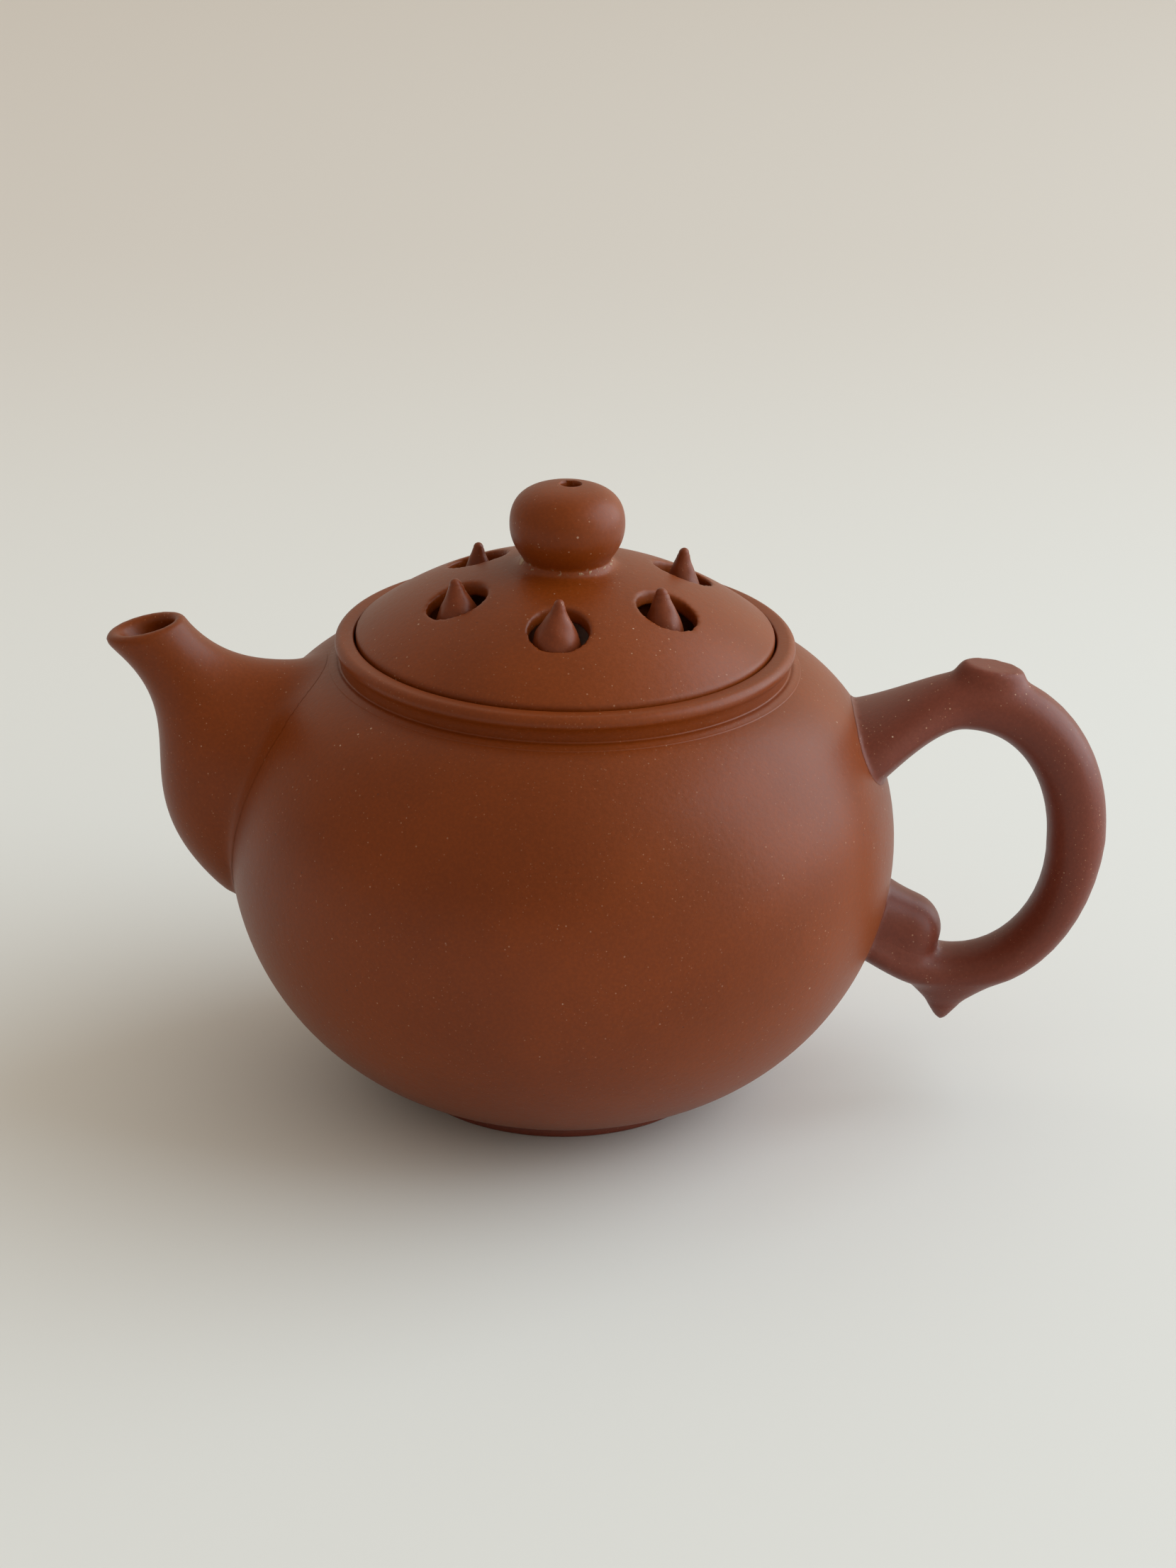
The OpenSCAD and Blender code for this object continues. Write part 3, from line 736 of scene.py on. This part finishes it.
def make_handle(core):
    """The loop with its thumb rest, spur and lobe, worked into one, and the lobe parted again."""
    sections = []
    for q, path in enumerate(HANDLE_CURVES):
        for i in range(0 if q == 0 else 1, HANDLE_STEPS + 1):
            t = i / HANDLE_STEPS
            way = curve_way(path, t)
            across = Vector((-way.y, way.x)) * curve(HANDLE_T[q], t)
            half_width = mix(HANDLE_W[q], HANDLE_W[q + 1], ease(t))
            sections.append(ring(curve(path, t), across, half_width))
    handle = lofted("handle_loop", sections)
    arm, spur, lobe = copy_of(handle), make_spur(), make_lobe()
    for lump in (make_thumb_rest(), make_web(), copy_of(spur), copy_of(lobe)):
        join_clay(handle, lump)
    soften(handle, HANDLE_SKIN, 2)
    smooth_part(handle, 40, low=GRIP_Z, carrier=arm, reach=1.2)
    smooth_part(handle, 90, low=13.0, high=19.0, carrier=spur, reach=4.0)
    smooth_part(handle, 16, carrier=lobe, reach=1.6)
    drop(arm)
    drop(spur)
    lute(handle, core, HANDLE_SIDE, HANDLE_SKIN, HANDLE_WORK)
    swell(lobe, LOBE_PART)
    part = copy_of(handle)
    part.name = "lobe"
    add_modifier(part, "BOOLEAN", operation="INTERSECT", object=lobe, solver="EXACT")
    cut(handle, lobe)
    smooth_faces(handle, keep_edges=True)
    smooth_faces(part, keep_edges=True)
    return handle, part


THUMB_X, THUMB_RISE, THUMB_TILT = 3.6, 1.0, math.radians(9)
THUMB_LONG, THUMB_WIDE = 4.8, 3.4
# How far down each section lies, and how much larger it is
THUMB_ROWS = [(0, 1), (0.2, 1.05), (0.5, 1.1), (1.0, 1.17), (1.7, 1.26), (2.6, 1.33)]


def make_thumb_rest():
    """A flat oval worked up from the top of the upper arm, tilted towards the grip."""
    top = Vector((CREST_X + THUMB_X, CREST_Z + CREST_T + THUMB_RISE))
    along = Vector((math.cos(THUMB_TILT), -math.sin(THUMB_TILT)))
    down = Vector((-math.sin(THUMB_TILT), -math.cos(THUMB_TILT)))
    return lofted("thumb_rest", [ring(top + down * depth, along * THUMB_LONG * s, THUMB_WIDE * s)
                                 for depth, s in THUMB_ROWS])


SPUR_TIP_Z, SPUR_X, SPUR_LEAN = 10.0, 1.45, 2.4
# Share of the way down, half length and half width
SPUR_ROWS = [(0, 7.4, 5.4), (0.2, 7.2, 5.1), (0.34, 6.7, 4.6), (0.44, 5.2, 4.1),
             (0.56, 3.85, 3.4), (0.7, 2.65, 2.6), (0.84, 1.7, 1.8), (0.94, 1.05, 1.1),
             (1, 0.45, 0.5)]


def make_spur():
    """A blunt spur drawn down from the lower arm."""
    drop_z = LOW_CREST_Z - SPUR_TIP_Z
    sections = []
    for share, long, wide in SPUR_ROWS:
        x = CREST_X - SPUR_X + (1 - share) ** 2 * SPUR_LEAN
        sections.append(ring(Vector((x, LOW_CREST_Z - drop_z * share)), Vector((long, 0)), wide))
    return lofted("spur", sections)


LOBE_MIDDLE, LOBE_LEAN = Vector((58.0, 27.0)), Vector((-11.0, 4.6))
LOBE_R, LOBE_W, LOBE_FLARE = 6.0, 6.3, 0.45
LOBE_CAP_STEPS, LOBE_STEPS = 8, 6


def make_lobe():
    """The round lobe that leans on the wall above the lower arm, wider towards the wall."""
    way = LOBE_LEAN.normalized()
    across = Vector((-way.y, way.x))
    sections = []
    for i in range(1, LOBE_CAP_STEPS + 1):
        a = math.radians(180 - 90 * i / LOBE_CAP_STEPS)
        middle = LOBE_MIDDLE + way * LOBE_R * math.cos(a)
        sections.append(ring(middle, across * LOBE_R * math.sin(a), LOBE_W * math.sin(a)))
    for i in range(1, LOBE_STEPS + 1):
        grow = 1 + LOBE_FLARE * (i / LOBE_STEPS) ** 2
        middle = LOBE_MIDDLE + LOBE_LEAN * i / LOBE_STEPS
        sections.append(ring(middle, across * LOBE_R * grow, LOBE_W * grow))
    return lofted("lobe_tool", sections)


# Place in X and Z, half height and half width
WEB_ROWS = [(45, 31.0, 3.0, 7.8), (50, 28.4, 2.8, 7.5), (54, 26.3, 2.6, 7.2), (58, 24.3, 2.6, 6.7),
            (60, 23.6, 2.4, 5.9), (61.5, 23.3, 2.0, 4.7), (62.5, 23.2, 1.2, 2.7)]


def make_web():
    """Clay worked in between the lobe and the arm, so that their sides run into each other."""
    return lofted("web", [ring(Vector((x, z)), Vector((0, high)), wide)
                          for x, z, high, wide in WEB_ROWS])


# Lid

# Where each seed stands round the lid, in degrees, and how far off the ring
SEED_ANGLES = [-93, -36, 21, 86, 148, -153]
SEED_DRIFTS = [0.7, 0, 0.5, 0, -2.6, -0.3]
SEEDS = len(SEED_ANGLES)
# Length in metres of the punch for the seed holes
PUNCH_L = 0.03
# From here up, above the lid's edge, the holes' edges are worked once more
HOLES_UP = 4.0


def seed_place(i):
    a = math.radians(SEED_ANGLES[i])
    r = SEED_RING_R + SEED_DRIFTS[i]
    return Vector((r * math.cos(a), r * math.sin(a), TRAY_TOP_Z))


def dome_arc(radius, start, end, steps):
    """Points of a dome of this radius, between two angles off its axis."""
    angles = [mix(start, end, i / steps) for i in range(steps + 1)]
    return [Vector((radius * math.sin(a), DOME_Z + radius * math.cos(a))) for a in angles]


def make_dome():
    """The domed lid with its seed holes, hollow above the tray."""
    inside, edge_r = DOME_R - LID_T, DOME_R - LID_EDGE_ROUND
    edge = math.asin((LID_R - LID_EDGE_ROUND) / edge_r)
    edge_z = DOME_Z + edge_r * math.cos(edge)
    points = dome_arc(DOME_R, math.asin(VENT_R / DOME_R), edge, 40)
    points += arc(LID_R - LID_EDGE_ROUND, edge_z, LID_EDGE_ROUND, 90 - math.degrees(edge), 0, 8)[1:]
    points += vectors((LID_R, SEAT_Z), (TRAY_R, SEAT_Z),
                      (TRAY_R, TRAY_TOP_Z), (CHAMBER_R, TRAY_TOP_Z))
    points += dome_arc(inside, math.asin(CHAMBER_R / inside), math.asin(VENT_R / inside), 30)
    dome = turned("lid_shell", points + [points[0]], LID_STEPS)
    for i in range(SEEDS):
        place = seed_place(i)
        deselect()
        bpy.ops.mesh.primitive_cylinder_add(
            vertices=64, radius=SEED_HOLE_R * MM, depth=PUNCH_L,
            location=(place.x * MM, place.y * MM, place.z * MM + PUNCH_L / 2))
        cut(dome, bpy.context.object)
    soften(dome, LID_SKIN, 3)
    smooth_part(dome, 8, low=LID_EDGE_Z + HOLES_UP)
    return dome


# The fillet's reach on the dome, how deep the knob is set into it, and how far its top stays
# under the full height
FILLET_R, KNOB_SUNK, KNOB_CLEAR = NECK_R + 2.4, 0.6, 0.05


def make_knob():
    """The knob, with the crease at its neck and the fillet that runs out on the dome."""
    top = KNOB_H - KNOB_CLEAR
    fillet = vectors((FILLET_R, -0.27), (NECK_R + 1.4, -0.08),
                     (NECK_R + 0.25, 0.1), (NECK_R + 0.15, 1.05))
    neck = Vector((NECK_R - 0.1, 1.25))
    low = [neck] + vectors((neck.x, KNOB_MID * 0.28), (KNOB_R, KNOB_MID * 0.5), (KNOB_R, KNOB_MID))
    high = vectors((KNOB_R, KNOB_MID), (KNOB_R, mix(KNOB_MID, KNOB_H, 0.86)),
                   (KNOB_R * 0.55, top), (0, top))
    points = vectors((0, -KNOB_SUNK), (FILLET_R, -KNOB_SUNK)) + curve_points(fillet, 10)
    points += curve_points(low, 24) + curve_points(high, 30, first=1)
    knob = turned("lid_knob", [p + Vector((0, KNOB_Z)) for p in points], KNOB_STEPS)
    drill_vent(knob, KNOB_Z + KNOB_H)
    return knob


# The drill's length, how far its middle lies under the knob's top, and where its edge opens
DRILL_L, DRILL_DOWN, VENT_EDGE = 24, 8, 0.6
# How the edge opens, as growth and rise
VENT_FLARE = [(1.05, 0.25), (1.12, 0.22), (1.3, 0.18)]


def drill_vent(knob, top_z):
    """Drills the steam hole, which came out a little off the middle, and breaks its edge."""
    place = Vector((*VENT_OFF, top_z - DRILL_DOWN)) * MM
    deselect()
    bpy.ops.mesh.primitive_cylinder_add(vertices=48, radius=VENT_R * MM, depth=DRILL_L * MM,
                                        location=place)
    drill = bpy.context.object
    bpy.ops.object.mode_set(mode="EDIT")
    mesh = bmesh.from_edit_mesh(drill.data)
    for vert in mesh.verts:
        vert.select = False
    for face in mesh.faces:
        face.select = face.normal.z > 0.9
    bmesh.update_edit_mesh(drill.data)
    lower = DRILL_L / 2 - DRILL_DOWN + VENT_EDGE
    bpy.ops.transform.translate(value=(0, 0, -lower * MM))
    for grow, rise in VENT_FLARE:
        bpy.ops.mesh.extrude_region_move(TRANSFORM_OT_translate={"value": (0, 0, rise * MM)})
        bpy.ops.transform.resize(value=(grow, grow, 1), center_override=place)
    bpy.ops.object.mode_set(mode="OBJECT")
    cut(knob, drill)
    smooth_faces(knob, keep_edges=True)


# Each seed was rolled by hand: its half width under the tip, on the flank and at its widest, how
# far its waist and its tip stand off the middle of the hole along X, and how much taller it is
SEED_SHAPES = [(1.1, 3.3, 4.2, -0.35, 0.05, 0.9), (1.25, 2.7, 3.7, -0.5, -0.95, 0),
               (1.1, 2.3, 3.7, 0, 0.25, 0.3), (1.1, 2.5, 3.8, 0.1, -0.1, 0),
               (1.05, 2.4, 3.7, 0.1, 0, 0), (1.25, 3.1, 4.2, 0.3, -0.45, 0)]
SEED_WAIST_H = 7.5
SEED_WOBBLE, SEED_WOBBLE_DEPTH = 2.2, 0.3
TIP_ROUND = 0.85


def make_seed(i):
    """A pointed drop on a foot that is wider than its hole."""
    tip, flank, widest, waist_x, tip_x, taller = SEED_SHAPES[i]
    top, tip_r = SEED_H + taller, TIP_ROUND * tip
    points = vectors((0, 0), (SEED_FOOT_R - SEED_FOOT_ROUND, 0), (SEED_FOOT_R, SEED_FOOT_ROUND),
                     (SEED_FOOT_R, 1.3), (widest, 2.9))
    side = vectors((widest, top - 8.6), (flank, top - 4.2),
                   (tip + 0.3, top - 3.0), (tip, top - 1.3))
    points += curve_points(side, 16) + arc(0, top - tip_r, tip_r, 0, 90, 8)
    seed = turned("seed_drop_%d" % (i + 1), points, SEED_STEPS)
    wobble(seed, SEED_WOBBLE, SEED_WOBBLE_DEPTH)
    for vert in seed.data.vertices:
        share = max(0.0, (vert.co.z / MM - SEED_WAIST_H) / (top - SEED_WAIST_H))
        vert.co.x += mix(waist_x, tip_x, share ** 1.5) * MM
    seed.data.transform(Matrix.Translation(seed_place(i) * MM))
    return seed


# All pieces, each on its body

body = make_body()
core = body_core()
finish_piece(body, "pot", pot_clay, "clay", "body_lower", "body_upper")
finish_piece(make_rim(), "pot", pot_clay, "clay", "rim_ring")
finish_piece(make_seat(), "pot", pot_clay, "clay", "lid_seat")
# The foot gets the clay copy with painted shade
finish_piece(make_foot(), "pot", shaded_clay, "dark_clay", "foot_ring")
finish_piece(make_spout(core), "pot", pot_clay, "clay", "spout")
handle, lobe = make_handle(core)
# The handle and its lobe get the clay copy with painted shade and painted sheen
finish_piece(handle, "pot", shaded_clay, "dark_clay", "handle")
finish_piece(lobe, "pot", shaded_clay, "dark_clay", "handle_lobe")
drop(core)
finish_piece(make_dome(), "lid", pot_clay, "clay", "lid_dome")
finish_piece(make_knob(), "lid", knob_clay, "clay", "knob")

for i in range(SEEDS):
    name = "seed_%d" % (i + 1)
    finish_piece(make_seed(i), name, seed_clay, "seed_clay", name)

# These keep their solids
for name in ("base_disc", "strainer", "lid_flange", "seed_tray"):
    solid = frame["nodes"][name]
    solid.data.materials.clear()
    solid.data.materials.append(pot_clay)


# Floor, light and camera, in metres

FLOOR_SIZE, FLOOR_PLACE = 6.0, (0, 0.6, 0)
# Painted shade: the table grows darker and warmer towards the back, where less of the window's cool
# light falls
FLOOR_NEAR, FLOOR_FAR_SHADED = (0.755, 0.755, 0.745, 1), (0.665, 0.62, 0.58, 1)
FLOOR_SHADE_FADE = -0.5, 0.0
FLOOR_ROUGHNESS = 0.7

WINDOW_PLACE, WINDOW_AIM, WINDOW_SIZE = (1.28, 0.2, 0.60), (0, 0, 0.05), 1.7
WINDOW_POWER, WINDOW_COLOUR = 27.5, (0.682, 0.868, 1.0)

# How much of the room's light comes from each side
ROOM_SIDES = [("X", 1.085), ("X", -0.26), ("Y", 0.54), ("Y", -0.26), ("Z", 0.344)]
ROOM_COLOUR = (1.0, 0.9, 0.75, 1)

# The camera that was fitted to the photo; the focal length and the photo's height are in pixels
CAMERA_PLACE = (0, -0.53146, 0.27514)
PITCH, YAW, ROLL = math.radians(22.779), math.radians(0.447), math.radians(1.151)
FOCAL, PHOTO_H, SENSOR = 4920, 2212, 36.0


def make_floor():
    """A pale table, with painted shade that makes it a little darker and warmer towards the back.
    """
    deselect()
    bpy.ops.mesh.primitive_plane_add(size=FLOOR_SIZE, location=FLOOR_PLACE)
    floor = bpy.context.object
    floor.name = "table"
    material = bpy.data.materials.new("table_top")
    material.use_nodes = True
    tree = material.node_tree
    shader = tree.nodes["Principled BSDF"]
    # Painted shade towards the back of the table
    back = ramp(tree, axes_of(tree, object_place(tree))["Y"], *FLOOR_SHADE_FADE)
    tone = blend_colour(tree, back, FLOOR_NEAR, FLOOR_FAR_SHADED)
    tree.links.new(tone, shader.inputs["Base Color"])
    shader.inputs["Roughness"].default_value = FLOOR_ROUGHNESS
    floor.data.materials.append(material)


def add_window():
    """The cool light of a large window beyond the handle."""
    lamp = bpy.data.lights.new("window", "AREA")
    lamp.shape = "RECTANGLE"
    lamp.size = lamp.size_y = WINDOW_SIZE
    lamp.energy = WINDOW_POWER
    lamp.color = WINDOW_COLOUR
    light = bpy.data.objects.new("window", lamp)
    bpy.context.scene.collection.objects.link(light)
    light.location = WINDOW_PLACE
    aim = Vector(WINDOW_AIM) - Vector(WINDOW_PLACE)
    light.rotation_euler = aim.to_track_quat("-Z", "Y").to_euler()


def add_room_light():
    """Soft warm light all round, with its own strength from each side."""
    world = bpy.data.worlds.new("room")
    world.use_nodes = True
    tree = world.node_tree
    axes = axes_of(tree, tree.nodes.new("ShaderNodeTexCoord").outputs["Generated"])
    total = 0.0
    for axis, strength in ROOM_SIDES:
        share = math_node(tree, "MULTIPLY", axes[axis], strength)
        total = math_node(tree, "ADD", math_node(tree, "MAXIMUM", share, 0.0), total)
    background = tree.nodes["Background"]
    background.inputs["Color"].default_value = ROOM_COLOUR
    tree.links.new(total, background.inputs["Strength"])
    bpy.context.scene.world = world


def add_camera():
    level = math.cos(PITCH)
    ahead = Vector((math.sin(YAW) * level, math.cos(YAW) * level, -math.sin(PITCH)))
    right = Vector((math.cos(YAW), -math.sin(YAW), 0))
    up = right.cross(ahead)
    side = math.cos(ROLL) * right + math.sin(ROLL) * up
    top = -math.sin(ROLL) * right + math.cos(ROLL) * up
    lens = bpy.data.cameras.new("camera")
    lens.sensor_width = SENSOR
    lens.lens = FOCAL / PHOTO_H * SENSOR
    camera = bpy.data.objects.new("camera", lens)
    bpy.context.scene.collection.objects.link(camera)
    turn = Matrix((side, top, -ahead)).transposed().to_4x4()
    camera.matrix_world = Matrix.Translation(CAMERA_PLACE) @ turn
    bpy.context.scene.camera = camera


make_floor()
add_camera()
add_window()
add_room_light()
bpy.context.scene.view_settings.view_transform = "Standard"
